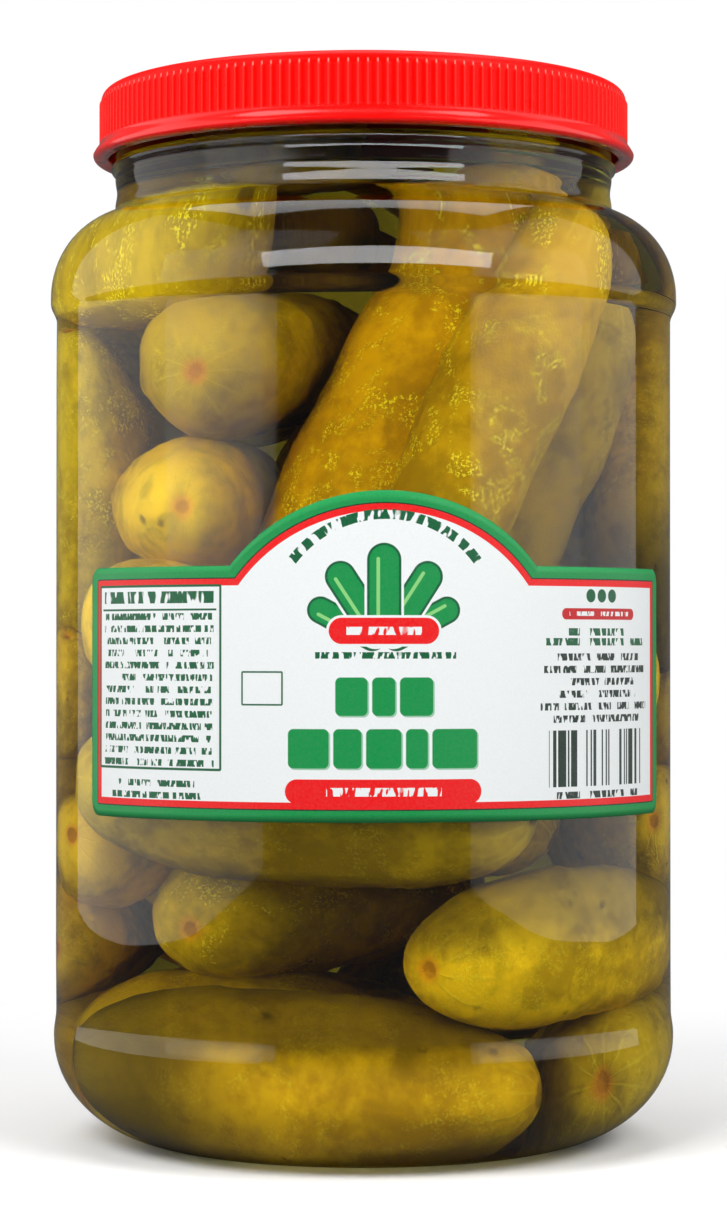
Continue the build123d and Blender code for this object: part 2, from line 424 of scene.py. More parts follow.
# ---------------------------------------------------------------- pickles
# Whole cured cucumbers, packed in by hand: thick rough skin with warts and shallow ribs, a
# round blossom scar at one end and a stem scar at the other, and no two alike. Each lies
# against its neighbours and the wall.
PICKLES = {
    # name: blossom end, stem end, diameter, bend, how firmly it keeps its place, skin
    "upper_left_long": ((29, -14, 211), (-19, -30, 104), 36, 4, 90, "gold"),
    "upper_front": ((38, -30, 196), (2, -51, 108), 26, 3, 60, "brown"),
    "upper_right": ((42, 0, 184), (6, 0, 94), 31, 3, 40, "olive"),
    "right_side": ((52, -1, 102), (55, 12, 190), 31, 2, 20, "dark_end"),
    "end_on_upper": ((-34, -41, 162), (0, 22, 169), 31, 2, 60, "olive"),
    "end_on_left": ((-36, -45, 134), (-17, 32, 138), 29, 2, 60, "amber"),
    "left_side": ((-47, 9, 176), (-49, 10, 92), 30, 2, 30, "yellow"),
    "left_shoulder": ((-51, 18, 186), (-24, -32, 192), 28, 3, 30, "pale"),
    "under_label": ((-60, -15, 79), (29, -53, 73), 35, 4, 60, "olive"),
    "deep_left": ((-31, -9, 47), (17, 35, 56), 32, 2, 30, "yellow"),
    "lower_right": ((8, -53, 40), (57, 1, 44), 31, 3, 60, "shaded"),
    "bottom_front": ((-60, -15, 19), (30, -43, 17), 30, 3, 60, "dark_back"),
    "bottom_right": ((44, -36, 22), (41, 33, 20), 32, 2, 50, "olive"),
    "right_end_on": ((54, -19, 61), (48, 40, 63), 31, 2, 40, "amber"),
    "left_end_on": ((-61, 9, 41), (-38, 53, 41), 28, 2, 30, "amber"),
    "right_low_back": ((59, 11, 36), (24, 52, 46), 30, 2, 1, "amber"),
    "behind_label_left": ((-52, -20, 108), (-14, -49, 104), 29, 2, 2, "amber"),
    "behind_label_right": ((14, -51, 104), (57, -19, 98), 28, 2, 2, "amber"),
    "middle_low": ((-45, 18, 20), (11, 7, 22), 32, 3, 1, "olive"),
    "back_low": ((-36, 47, 20), (18, 49, 20), 32, 3, 1, "amber"),
    "middle": ((-24, 6, 90), (34, -1, 86), 34, 3, 1, "amber"),
    "back_middle": ((-42, 30, 76), (28, 46, 72), 34, 3, 1, "amber"),
    "back_left": ((-18, 42, 206), (-18, 46, 110), 32, 3, 1, "yellow"),
    "back": ((13, 33, 208), (12, 43, 112), 34, 3, 1, "amber"),
    "back_right": ((41, 33, 180), (37, 35, 92), 32, 3, 1, "amber"),
    "fill_gap": ((-6, 23, 206), (-4, 24, 140), 26, 1, 1, "yellow"),
    "fill_core": ((9, 15, 176), (6, 18, 104), 27, 1, 1, "amber"),
    "fill_left": ((-55, 19, 70), (-16, 52, 64), 28, 2, 1, "amber"),
    "fill_back_low": ((-32, 43, 50), (13, 55, 52), 28, 2, 1, "amber"),
    "fill_right_back": ((59, 5, 70), (34, 49, 80), 28, 2, 1, "amber"),
    "fill_shoulder": ((53, 12, 188), (24, 48, 190), 26, 2, 1, "yellow"),
    "fill_top_back": ((-32, 43, 188), (18, 51, 188), 26, 2, 1, "amber"),
    "fill_mid_low": ((9, 13, 36), (35, 13, 40), 24, 1, 1, "amber"),
    "fill_mid_left": ((-49, 10, 60), (-24, 28, 62), 24, 1, 1, "amber"),
    "fill_crown": ((-25, 2, 197), (6, 4, 199), 25, 1, 20, "olive"),
    "fill_label_left": ((-58, 2, 112), (-54, 10, 84), 22, 1, 30, "amber"),
}
FINE_MESH = (96, 88)
PLAIN_MESH = (48, 44)
BEADS = np.linspace(0.1, 0.9, 7)
WARTS = 34
EASE = 0.35         # share of an overlap that one round takes up
PULL_BACK = 0.002   # pull towards the first place, for each step of firmness
WALL_GAP = 0.5
FOOT_GAP = 2.5
LEVEL_GAP = 2


def taper(along):
    """The share of full thickness at a share of the length: a blunt superellipse."""
    return np.clip(1 - np.abs(2 * along - 1) ** 2.9, 0, 1) ** 0.5


def settled(tips, radius, hold, rounds=160):
    """The pickles' end points once none overlaps another or the wall, in millimetres.

    Each pickle is a row of beads. Beads that overlap push apart along the line between
    their middles, and a bead through the wall is pushed in; the row stays straight and as
    long as it was, and one that holds its place firmly moves less.
    """
    wall = skin_line(WALL, BRINE_TOP) / MM
    wall = wall[wall[:, 1].argmin():]
    size = radius[:, None] * taper(BEADS)
    length = np.linalg.norm(tips[:, 1] - tips[:, 0], axis=1)
    count, beads = size.shape
    flat_size = size.ravel()
    owner = np.repeat(np.arange(count), beads)
    other = owner[:, None] != owner[None]
    reach = flat_size[:, None] + flat_size[None]
    give = (1 / hold)[owner]
    share = give[:, None] / (give[:, None] + give[None])
    lean = np.linspace(-1, 1, 9) * np.pi / 2
    start = tips
    keep = PULL_BACK * hold
    for _ in range(rounds):
        spots = (tips[:, :1] + BEADS[:, None] * (tips[:, 1:] - tips[:, :1])).reshape(-1, 3)
        gap = spots[:, None] - spots[None]
        apart = np.linalg.norm(gap, axis=-1) + 1e-6
        press = np.clip(reach - apart, 0, None) * other * share
        move = (gap / apart[..., None] * press[..., None]).sum(1) * EASE
        spots = spots + move
        across = np.hypot(spots[:, 0], spots[:, 1]) + 1e-6
        heights = spots[:, 2:] + flat_size[:, None] * np.sin(lean)
        room = np.interp(heights, wall[:, 1], wall[:, 0]) - flat_size[:, None] * np.cos(lean)
        shrink = np.minimum(1, (room.min(1) - WALL_GAP) / across)
        spots[:, :2] *= shrink[:, None]
        highest = BRINE_TOP / MM - flat_size - LEVEL_GAP
        spots[:, 2] = np.clip(spots[:, 2], flat_size + FOOT_GAP, highest)
        spots = spots.reshape(count, beads, 3)
        middle = spots.mean(1)
        slope = ((BEADS - 0.5)[:, None] * (spots - middle[:, None])).sum(1)
        slope /= np.linalg.norm(slope, axis=1, keepdims=True)
        ends = slope[:, None] * np.array([-0.5, 0.5])[:, None] * length[:, None, None]
        tips = middle[:, None] + ends
        tips += (start - tips) * keep[:, None, None]
    return tips


def pickle(name, tips, radius, bend, seed, around, rows):
    """One pickle from its two end points: rings along a bowed axis.

    Ring radius is the taper times three low lobes, shallow ribs, slow swells (sums of
    sines) and warts (round bumps at random places); the blossom end is dimpled.
    """
    draw = np.random.default_rng(seed)
    axis = tips[1] - tips[0]
    length = np.linalg.norm(axis)
    axis = axis / length
    side = np.cross(axis, draw.normal(size=3))
    side /= np.linalg.norm(side)
    over = np.cross(axis, side)
    along = (1 - np.cos(np.linspace(0, np.pi, rows + 2)[1:-1])) / 2
    turn = np.arange(around) * 2 * np.pi / around
    t, phi = np.meshgrid(along, turn, indexing="ij")
    form = taper(t) * (1 + draw.uniform(-0.07, 0.07) * (2 * t - 1))
    form *= 1 + 0.03 * np.cos(3 * phi + draw.uniform(0, 6))
    form += 0.012 * np.cos(9 * phi + draw.uniform(0, 6)) * np.sin(np.pi * t)
    for wave in range(1, 6):
        swell = draw.uniform(0.010, 0.022) / wave ** 0.5
        form += swell * taper(t) * np.sin(
            2 * wave * t * np.pi + draw.uniform(0, 6) + np.round(draw.uniform(0, 2)) * phi)
    depth = form * radius
    wart_t = draw.uniform(0.06, 0.94, WARTS)
    wart_phi = draw.uniform(0, 2 * np.pi, WARTS)
    wart_high = draw.uniform(0.2, 0.75, WARTS)
    wart_wide = draw.uniform(1.3, 2.6, WARTS)
    for at, angle, high, wide in zip(wart_t, wart_phi, wart_high, wart_wide):
        turned_by = (phi - angle + np.pi) % (2 * np.pi) - np.pi
        away = ((t - at) * length) ** 2 + (turned_by * radius * taper(at)) ** 2
        depth += high * np.exp(-away / wide ** 2)
    dimple = 1.6 * np.exp(-(depth / (0.22 * radius)) ** 2) * (t < 0.5)
    bow = bend * (1 - (2 * t - 1) ** 2)
    middle = tips[0] + axis * (t * length + dimple)[..., None] + side * bow[..., None]
    ring = np.cos(phi)[..., None] * side + np.sin(phi)[..., None] * over
    points = middle + ring * depth[..., None]
    low_pole = points[0].mean(0) + axis * 0.25
    high_pole = points[-1].mean(0) + axis * 0.3
    return solid_of(name, points * MM, low_pole * MM, high_pole * MM)


names = list(PICKLES)
tips = np.array([PICKLES[name][:2] for name in names], float)
radius = np.array([PICKLES[name][2] for name in names]) / 2
hold = np.array([PICKLES[name][4] for name in names], float)
tips = settled(tips, radius, hold)


def new_group(name, given, gives):
    """A shader node group with named sockets: (group, what it is given, what it gives)."""
    group = bpy.data.node_groups.new(name, "ShaderNodeTree")
    for label, kind in given:
        group.interface.new_socket(label, in_out="INPUT", socket_type="NodeSocket" + kind)
    for label, kind in gives:
        group.interface.new_socket(label, in_out="OUTPUT", socket_type="NodeSocket" + kind)
    start = group.nodes.new("NodeGroupInput")
    end = group.nodes.new("NodeGroupOutput")
    return group, start.outputs, end.inputs


def blend(tree, share, first, second):
    """A Mix node of two colours; each is an RGB triple or another node's output."""
    node = tree.nodes.new("ShaderNodeMix")
    node.data_type = "RGBA"
    if isinstance(share, (int, float)):
        node.inputs["Factor"].default_value = share
    else:
        tree.links.new(share, node.inputs["Factor"])
    for socket, term in ((node.inputs[6], first), (node.inputs[7], second)):
        if isinstance(term, tuple):
            socket.default_value = (*term, 1)
        else:
            tree.links.new(term, socket)
    return node.outputs[2]


def noise(tree, vector, size, detail=3.0, rough=0.5, stretch=1.0):
    """Noise of about that many millimetres, from 0 to 1; stretch is how much it is warped."""
    node = tree.nodes.new("ShaderNodeTexNoise")
    node.inputs["Scale"].default_value = 1 / (size * MM)
    node.inputs["Detail"].default_value = detail
    node.inputs["Roughness"].default_value = rough
    node.inputs["Distortion"].default_value = stretch - 1.0
    tree.links.new(vector, node.inputs["Vector"])
    return node.outputs[0]


def cells(tree, vector, size, feature="F1"):
    """Distances in a Voronoi pattern of about that many millimetres, in shares of a cell."""
    node = tree.nodes.new("ShaderNodeTexVoronoi")
    node.feature = feature
    node.inputs["Scale"].default_value = 1 / (size * MM)
    tree.links.new(vector, node.inputs["Vector"])
    return node.outputs["Distance"]


RIDGE_YELLOW = (0.90, 0.72, 0.04)
FLECK_YELLOW = (1.0, 0.88, 0.05)
SPINE_BROWN = (0.16, 0.085, 0.006)
CREASE_BROWN = (0.25, 0.15, 0.008)
CORE_BROWN = (0.34, 0.15, 0.008)
STEM_BROWN = (0.16, 0.085, 0.01)
# the painted shade laid over one end or the upper side of some pickles
DARK_OLIVE = (0.035, 0.026, 0.001)
skin, given, gives = new_group(
    "cured_skin",
    [("Ripe", "Color"), ("Dull", "Color"), ("Scar", "Color"), ("Flecks", "Float"),
     ("Spots", "Float"), ("Fade", "Float"), ("Back", "Float"), ("Level", "Float")],
    [("Color", "Color"), ("Height", "Float"), ("Roughness", "Float")],
)
coords = skin.nodes.new("ShaderNodeTexCoord")
spot = coords.outputs["Object"]
place = skin.nodes.new("ShaderNodeSeparateXYZ")
skin.links.new(coords.outputs["UV"], place.inputs[0])
turn, along = place.outputs[0], place.outputs[1]
patches = noise(skin, spot, 16, 3, 0.55, 1.4)
mottle = noise(skin, spot, 3.2, 5, 0.65)
grain = noise(skin, spot, 0.65, 3, 0.7)
dull = sums(skin, "MULTIPLY_ADD", mottle, 0.5, product(skin, patches, 0.9))
dull = sums(skin, "MULTIPLY_ADD", along, 0.16, dull)
colour = blend(skin, ramp(skin, dull, 0.60, 0.95), given["Ripe"], given["Dull"])
# ridges from end to end, strongest near the ends
warp = sums(skin, "MULTIPLY_ADD", patches, 3.0, product(skin, turn, 11 * np.pi))
ridge = sums(skin, "ABSOLUTE", sums(skin, "SINE", warp))
ridge = ramp(skin, ridge, 0.0, 0.45, 1.0, 0.0)
ends = sums(skin, "ABSOLUTE", less(skin, along, 0.5))
ridge = product(skin, ridge, ramp(skin, ends, 0.22, 0.40, 0.10, 1.0))
ridge = product(skin, ridge, ramp(skin, mottle, 0.36, 0.52))
colour = blend(skin, product(skin, ridge, 0.22), colour, RIDGE_YELLOW)
# shallow dark dots where the spines were, and creases
pits = cells(skin, spot, 11)
pits = product(skin, ramp(skin, pits, 0.04, 0.15, 1.0, 0.0), ramp(skin, mottle, 0.40, 0.55))
colour = blend(skin, product(skin, pits, given["Spots"]), colour, SPINE_BROWN)
bent = skin.nodes.new("ShaderNodeVectorMath")
bent.operation = "MULTIPLY_ADD"
swirl = skin.nodes.new("ShaderNodeTexNoise")
swirl.inputs["Scale"].default_value = 90.0
skin.links.new(spot, swirl.inputs["Vector"])
skin.links.new(swirl.outputs["Color"], bent.inputs[0])
bent.inputs[1].default_value = (9 * MM, 9 * MM, 9 * MM)
skin.links.new(spot, bent.inputs[2])
crease = cells(skin, bent.outputs[0], 24, "DISTANCE_TO_EDGE")
crease = ramp(skin, crease, 0.0, 0.05, 1.0, 0.0)
crease = product(skin, crease, ramp(skin, patches, 0.50, 0.58))
colour = blend(skin, product(skin, crease, 0.12), colour, CREASE_BROWN)
# pale flecks of loosened skin
clumps = noise(skin, spot, 9, 3, 0.6, 1.8)
flecks = product(skin, ramp(skin, grain, 0.52, 0.60), ramp(skin, clumps, 0.47, 0.60))
flecks = product(skin, flecks, given["Flecks"])
colour = blend(skin, flecks, colour, FLECK_YELLOW)
# the round scar at the blossom end and the browner stem end
fray = sums(skin, "MULTIPLY_ADD", mottle, 0.03, along)
scar = ramp(skin, fray, 0.020, 0.066, 1.0, 0.0)
core = ramp(skin, fray, 0.022, 0.036, 1.0, 0.0)
colour = blend(skin, product(skin, scar, 0.8), colour, given["Scar"])
colour = blend(skin, product(skin, core, 0.55), colour, CORE_BROWN)
stem = ramp(skin, fray, 0.965, 0.985)
colour = blend(skin, product(skin, stem, 0.8), colour, STEM_BROWN)
# painted shade: one end darker, and the upper side darker above a given height, where less light reaches
shade = product(skin, ramp(skin, along, 0.28, 0.53, 1.0, 0.0), given["Fade"])
height = skin.nodes.new("ShaderNodeSeparateXYZ")
skin.links.new(spot, height.inputs[0])
over = less(skin, height.outputs[2], given["Level"])
over = sums(skin, "MULTIPLY_ADD", patches, 8 * MM, over)
over = product(skin, ramp(skin, over, 0.0, 9 * MM), given["Back"])
colour = blend(skin, sums(skin, "MAXIMUM", shade, over), colour, DARK_OLIVE)
skin.links.new(colour, gives["Color"])
high = sums(skin, "MULTIPLY_ADD", mottle, 0.5, product(skin, grain, 0.25))
high = sums(skin, "MULTIPLY_ADD", flecks, 0.25, high)
high = sums(skin, "MULTIPLY_ADD", crease, -0.25, high)
high = sums(skin, "MULTIPLY_ADD", ridge, 0.25, high)
high = sums(skin, "MULTIPLY_ADD", core, -0.5, high)
skin.links.new(high, gives["Height"])
skin.links.new(ramp(skin, grain, 0.3, 0.7, 0.38, 0.6), gives["Roughness"])

SCAR_ORANGE = (0.85, 0.33, 0.01)
SCAR_PALE = (0.90, 0.42, 0.01)
SKINS = {
    # name: ripe colour, dull colour, scar colour, flecks, spots, then for some the painted shade
    # on one end, the painted shade on the upper side and the height where that shade begins
    "gold": ((0.74, 0.42, 0.004), (0.46, 0.24, 0.002), SCAR_PALE, 1.0, 0.2),
    "brown": ((0.60, 0.35, 0.003), (0.36, 0.20, 0.002), (0.85, 0.36, 0.01), 0.8, 0.3),
    "yellow": ((0.88, 0.66, 0.006), (0.52, 0.37, 0.003), SCAR_PALE, 1.0, 0.2),
    "pale": ((0.68, 0.49, 0.006), (0.42, 0.29, 0.003), SCAR_PALE, 1.0, 0.2),
    "amber": ((0.86, 0.56, 0.006), (0.46, 0.29, 0.003), SCAR_ORANGE, 0.25, 0.75),
    # the next three carry painted shade: on one end, on one end and the upper side, and on the upper side
    # alone
    "dark_end": ((0.88, 0.60, 0.006), (0.50, 0.32, 0.003), SCAR_ORANGE, 0.25, 0.8, 0.85),
    "dark_back": ((0.78, 0.48, 0.005), (0.48, 0.27, 0.003), SCAR_ORANGE, 0.25, 0.8, 0.85, 0.75, 21.5 * MM),
    "shaded": ((0.90, 0.58, 0.006), (0.48, 0.30, 0.003), SCAR_ORANGE, 0.25, 0.75, 0.0, 0.6, 46 * MM),
    "olive": ((0.54, 0.37, 0.005), (0.30, 0.20, 0.003), (0.62, 0.20, 0.01), 0.2, 0.4),
}
skins = {}
for name, (ripe, pale, mark, *amounts) in SKINS.items():
    skins[name], tree, out = new_material("pickle_" + name)
    look = tree.nodes.new("ShaderNodeGroup")
    look.node_tree = skin
    look.inputs["Ripe"].default_value = (*ripe, 1)
    look.inputs["Dull"].default_value = (*pale, 1)
    look.inputs["Scar"].default_value = (*mark, 1)
    for label, amount in zip(("Flecks", "Spots", "Fade", "Back", "Level"), amounts):
        look.inputs[label].default_value = amount
    flesh = tree.nodes.new("ShaderNodeBsdfPrincipled")
    tree.links.new(look.outputs["Color"], flesh.inputs["Base Color"])
    tree.links.new(look.outputs["Roughness"], flesh.inputs["Roughness"])
    flesh.inputs["Specular IOR Level"].default_value = 0.03
    bump = tree.nodes.new("ShaderNodeBump")
    bump.inputs["Strength"].default_value = 0.7
    bump.inputs["Distance"].default_value = 0.6 * MM
    tree.links.new(look.outputs["Height"], bump.inputs["Height"])
    tree.links.new(bump.outputs["Normal"], flesh.inputs["Normal"])
    tree.links.new(flesh.outputs[0], out.inputs["Surface"])

for index, name in enumerate(names):
    steps = FINE_MESH if hold[index] > 2 else PLAIN_MESH
    item = pickle("pickle_" + name, tips[index], radius[index], PICKLES[name][3], index + 1, *steps)
    item.data.materials.append(skins[PICKLES[name][5]])
    inside_things.objects.link(item)
    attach(item, "root")

# ---------------------------------------------------------------- brine
# Salt water and vinegar, coloured yellow-green by the pickles, up to its level in the neck.
# The wall's inner face already bends light on its way in, so only the level bends it again.
BRINE_DYE = (0.72, 0.67, 0.02)
DYE_DENSITY = 38.0
fill = skin_line(WALL / 2, BRINE_TOP)
brine = turned("brine_fill", np.concatenate([fill, [[0, BRINE_TOP]]]))
for name, ior in (("brine_liquid", 1.001), ("brine_level", BRINE_IOR)):
    liquid, tree, out = new_material(name)
    water = tree.nodes.new("ShaderNodeBsdfPrincipled")
    water.inputs["Base Color"].default_value = (1, 1, 1, 1)
    water.inputs["Roughness"].default_value = 0.0
    water.inputs["IOR"].default_value = ior
    water.inputs["Transmission Weight"].default_value = 1.0
    dye = tree.nodes.new("ShaderNodeVolumeAbsorption")
    dye.inputs["Color"].default_value = (*BRINE_DYE, 1)
    dye.inputs["Density"].default_value = DYE_DENSITY
    tree.links.new(water.outputs[0], out.inputs["Surface"])
    tree.links.new(dye.outputs[0], out.inputs["Volume"])
    brine.data.materials.append(liquid)
level = np.arange(len(brine.data.polygons)) >= len(brine.data.polygons) - AROUND
brine.data.polygons.foreach_set("material_index", level.astype(np.int32))
inside_things.objects.link(brine)
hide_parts("brine")
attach(brine, "root")

# ---------------------------------------------------------------- cap
# A moulded screw cap of red polypropylene: a flat top with a rounded edge, a skirt with fine
# upright ribs for grip, and a flared lip. It stands on the rim of the neck.
CAP_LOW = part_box("cap")[0][2]
CAP_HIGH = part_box("cap")[1][2]
SKIRT_IN = 55.6 * MM
SKIRT_R = 57.0 * MM
LIP_R = 58.7 * MM
TOP_ROUND = 2.3 * MM
LIP_ROUND = 1.2 * MM
RIB_LOW = 214.9 * MM
RIB_HIGH = 224.4 * MM
RIB_COUNT = 180
RIB_OUT = 0.38 * MM
FLARE_FROM = 212.4 * MM
FLARE_LOW = 213.0 * MM
FLARE_HIGH = 215.3 * MM
FLARE_OUT = 0.3 * MM
CAP_RED = (0.95, 0.002, 0.001)
CAP_DEEP_RED = (0.90, 0.002, 0.001)
# painted highlights: a lighter red along the rib crests and a pink gleam at their upper tips
RIB_RED = (0.96, 0.07, 0.05)
TIP_PINK = (0.97, 0.25, 0.20)


def cap_line():
    """The cap's outline as (radius, height) rows: underside, skirt's inside, lip, flare, top.

    The flare is a smooth step from lip to skirt with a small ledge under the ribs.
    """
    angle = np.linspace(-np.pi / 2, 0, 9)
    lip = np.stack([
        LIP_R - LIP_ROUND + LIP_ROUND * np.cos(angle),
        CAP_LOW + LIP_ROUND + LIP_ROUND * np.sin(angle),
    ], 1)
    flare_z = np.linspace(FLARE_LOW, FLARE_HIGH, 14)
    fall = 1 - smooth(flare_z, FLARE_FROM, FLARE_HIGH)
    flare_r = SKIRT_R + FLARE_OUT + (LIP_R - SKIRT_R - FLARE_OUT) * fall
    flare = np.stack([flare_r, flare_z], 1)
    ledge = np.array([[SKIRT_R + 0.24 * MM, 215.42 * MM], [SKIRT_R + 0.06 * MM, 215.5 * MM]])
    side_z = np.linspace(215.6 * MM, CAP_HIGH - TOP_ROUND, 30)
    side = np.stack([np.full_like(side_z, SKIRT_R), side_z], 1)
    angle = np.linspace(0, np.pi / 2, 12)[1:]
    edge = np.stack([
        SKIRT_R - TOP_ROUND + TOP_ROUND * np.cos(angle),
        CAP_HIGH - TOP_ROUND + TOP_ROUND * np.sin(angle),
    ], 1)
    under = np.array([[0, RIM], [20 * MM, RIM], [40 * MM, RIM], [SKIRT_IN, RIM]])
    inner_z = np.linspace(RIM, CAP_LOW, 8)[1:]
    inner = np.stack([np.full_like(inner_z, SKIRT_IN), inner_z], 1)
    top_r = np.linspace(SKIRT_R - TOP_ROUND, 0, 10)[1:]
    top = np.stack([top_r, np.full_like(top_r, CAP_HIGH)], 1)
    return np.concatenate([under, inner, lip, flare, ledge, side, edge, top])


line = cap_line()
pitch = 2 * np.pi / RIB_COUNT
share = np.array([-0.5, -0.17, -0.08, 0, 0.08, 0.17])
crest = np.array([0, 0, 0.75, 1, 0.75, 0])
angle = (np.arange(RIB_COUNT)[:, None] * pitch + share * pitch).ravel()
crest = np.tile(crest, RIB_COUNT)
ring = line[1:-1]
outer = ring[:, 0] > SKIRT_R - 0.4 * MM
fade = smooth(ring[:, 1], RIB_LOW - 0.5 * MM, RIB_LOW + 0.4 * MM)
fade *= smooth(RIB_HIGH - ring[:, 1], -0.4 * MM, 0.5 * MM) * outer
swell = np.maximum(ring[:, :1], (SKIRT_R + RIB_OUT * crest) * fade[:, None])
rings = np.stack([swell * np.cos(angle), swell * np.sin(angle), np.repeat(ring[:, 1:], len(angle), 1)], -1)
cap = solid_of("screw_cap", rings, (0, 0, line[0, 1]), (0, 0, line[-1, 1]))

red, tree, out = new_material("cap_red")
spot = tree.nodes.new("ShaderNodeTexCoord").outputs["Object"]
flow = noise(tree, spot, 14, 2, 0.5)
fine = noise(tree, spot, 0.5, 3)
paint = blend(tree, ramp(tree, flow, 0.35, 0.7), CAP_RED, CAP_DEEP_RED)
# painted highlight along the crests of the ribs, and a pinker one where they end under the top edge
place = tree.nodes.new("ShaderNodeSeparateXYZ")
tree.links.new(tree.nodes.new("ShaderNodeTexCoord").outputs["UV"], place.inputs[0])
crest = sums(tree, "FRACT", product(tree, place.outputs[0], float(RIB_COUNT)))
crest = sums(tree, "ABSOLUTE", less(tree, crest, 0.5))
crest = ramp(tree, crest, 0.10, 0.24, 1.0, 0.0)
level = tree.nodes.new("ShaderNodeSeparateXYZ")
tree.links.new(spot, level.inputs[0])
foot = ramp(tree, level.outputs[2], RIB_LOW, RIB_LOW + 0.5 * MM)
head = ramp(tree, level.outputs[2], RIB_HIGH, RIB_HIGH + 0.5 * MM, 1.0, 0.0)
ribbed = product(tree, foot, head)
ribbed = product(tree, crest, ribbed)
paint = blend(tree, product(tree, ribbed, 0.4), paint, RIB_RED)
tip = ramp(tree, level.outputs[2], RIB_HIGH - 0.7 * MM, RIB_HIGH - 0.1 * MM)
tip = product(tree, product(tree, tip, head), crest)
paint = blend(tree, product(tree, tip, 0.7), paint, TIP_PINK)
shell = tree.nodes.new("ShaderNodeBsdfPrincipled")
tree.links.new(paint, shell.inputs["Base Color"])
tree.links.new(ramp(tree, flow, 0.3, 0.7, 0.26, 0.36), shell.inputs["Roughness"])
shell.inputs["Specular IOR Level"].default_value = 0.12
shell.inputs["Coat Roughness"].default_value = 0.12
tree.links.new(less(tree, 1.0, foot), shell.inputs["Coat Weight"])
bump = tree.nodes.new("ShaderNodeBump")
bump.inputs["Strength"].default_value = 0.15
bump.inputs["Distance"].default_value = 0.08 * MM
tree.links.new(fine, bump.inputs["Height"])
tree.links.new(bump.outputs["Normal"], shell.inputs["Normal"])
tree.links.new(shell.outputs[0], out.inputs["Surface"])
cap.data.materials.append(red)
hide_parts("cap")
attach(cap, "root")

# ---------------------------------------------------------------- label
# A printed film label glued round the front of the body, with a round arch in its upper edge:
# green and red borders, a bundle of cucumbers, and blocks and strokes in place of words.
LABEL_IN = 66.55 * MM
LABEL_OUT = 66.70 * MM
# millimetres along the wall from its middle, and up from the ground
HALF_W = 72.25
LOW_Z = 71.7
HIGH_Z = 122.6
CORNER = 3.0
ARCH_S = -1.2
ARCH_R = 41.9
ARCH_Z = 95.5
BARE_SPOT = np.array([-0.28, 1.08])    # UV of a place with no print, for edges and back


def label_edges(s):
    """Lower and upper edge at s mm along the wall: rounded corners, and the arch's circle."""
    past = np.clip(np.abs(s) - (HALF_W - CORNER), 0, CORNER)
    corner = CORNER - np.sqrt(CORNER ** 2 - past ** 2)
    arch = ARCH_Z + np.sqrt(np.clip(ARCH_R ** 2 - (s - ARCH_S) ** 2, 0, None))
    return LOW_Z + corner, np.where(arch > HIGH_Z, arch, HIGH_Z - corner)


foot = np.sqrt(ARCH_R ** 2 - (HIGH_Z - ARCH_Z) ** 2)
s = np.unique(np.concatenate([
    np.linspace(-HALF_W, HALF_W, 241),
    np.linspace(HALF_W - CORNER, HALF_W, 13),
    -np.linspace(HALF_W - CORNER, HALF_W, 13),
    [ARCH_S - foot, ARCH_S + foot],
]).round(3))
low, top = label_edges(s)
share = np.linspace(0, 1, 40)[:, None]
z = low + (top - low) * share
s = np.broadcast_to(s, z.shape)
angle = s * MM / LABEL_OUT


def wrapped(radius):
    """The sheet's grid laid round the wall at that radius, the middle on -Y."""
    return np.stack([radius * np.sin(angle), -radius * np.cos(angle), z * MM], -1)


rows, columns = z.shape
front = np.arange(rows * columns).reshape(rows, columns)
back = front + rows * columns


def strip(a, b):
    """Quads between two rows of vertices."""
    return np.stack([a[:-1], a[1:], b[1:], b[:-1]], -1).reshape(-1, 4)


faces = np.concatenate([
    np.concatenate([strip(front[i], front[i + 1]) for i in range(rows - 1)]),
    np.concatenate([strip(back[i + 1], back[i]) for i in range(rows - 1)]),
    strip(back[0], front[0]),
    strip(front[-1], back[-1]),
    strip(back[::-1, 0], front[::-1, 0]),
    strip(back[:, -1], front[:, -1]),
])
mesh = bpy.data.meshes.new("wrap_label")
points = np.concatenate([wrapped(LABEL_OUT).reshape(-1, 3), wrapped(LABEL_IN).reshape(-1, 3)])
mesh.from_pydata(points.tolist(), [], faces.tolist())
print_uv = np.stack([s, z], -1).reshape(-1, 2) / 100
bare_uv = np.full_like(print_uv, 0) + BARE_SPOT
corner_uv = np.concatenate([print_uv, bare_uv])[faces.ravel()]
corner_uv[(rows - 1) * (columns - 1) * 4:] = bare_uv[0]
mesh.uv_layers.new(name="UVMap").data.foreach_set("uv", corner_uv.ravel())
smooth_faces = np.arange(len(faces)) < 2 * (rows - 1) * (columns - 1)
mesh.polygons.foreach_set("use_smooth", smooth_faces)
mesh.update()
label = link(bpy.data.objects.new("wrap_label", mesh))

GREEN = (0.003, 0.27, 0.062)
DEEP_GREEN = (0.0, 0.105, 0.035)
RED = (0.82, 0.004, 0.006)
PAPER = (0.83, 0.86, 0.86)
INK = (0.012, 0.03, 0.02)
BORDER_LINE = (0.004, 0.02, 0.01)
STALK_GREEN = (0.25, 0.62, 0.20)
BLOCK_SHADOW = (0.32, 0.55, 0.40)
PILL_RED = (0.55, 0.004, 0.008)
DUST = (0.35, 0.38, 0.36)


def box_distance(tree, s, z, middle, half, corner):
    """Distance in mm from a rounded box, below zero inside it."""
    across = sums(tree, "ABSOLUTE", less(tree, s, middle[0]))
    across = less(tree, across, half[0] - corner)
    up = sums(tree, "ABSOLUTE", less(tree, z, middle[1]))
    up = less(tree, up, half[1] - corner)
    inner = sums(tree, "MINIMUM", sums(tree, "MAXIMUM", across, up), 0.0)
    across = sums(tree, "MAXIMUM", across, 0.0)
    up = sums(tree, "MAXIMUM", up, 0.0)
    outer = sums(tree, "MULTIPLY_ADD", up, up, product(tree, across, across))
    outer = less(tree, sums(tree, "SQRT", outer), corner)
    return sums(tree, "ADD", outer, inner)


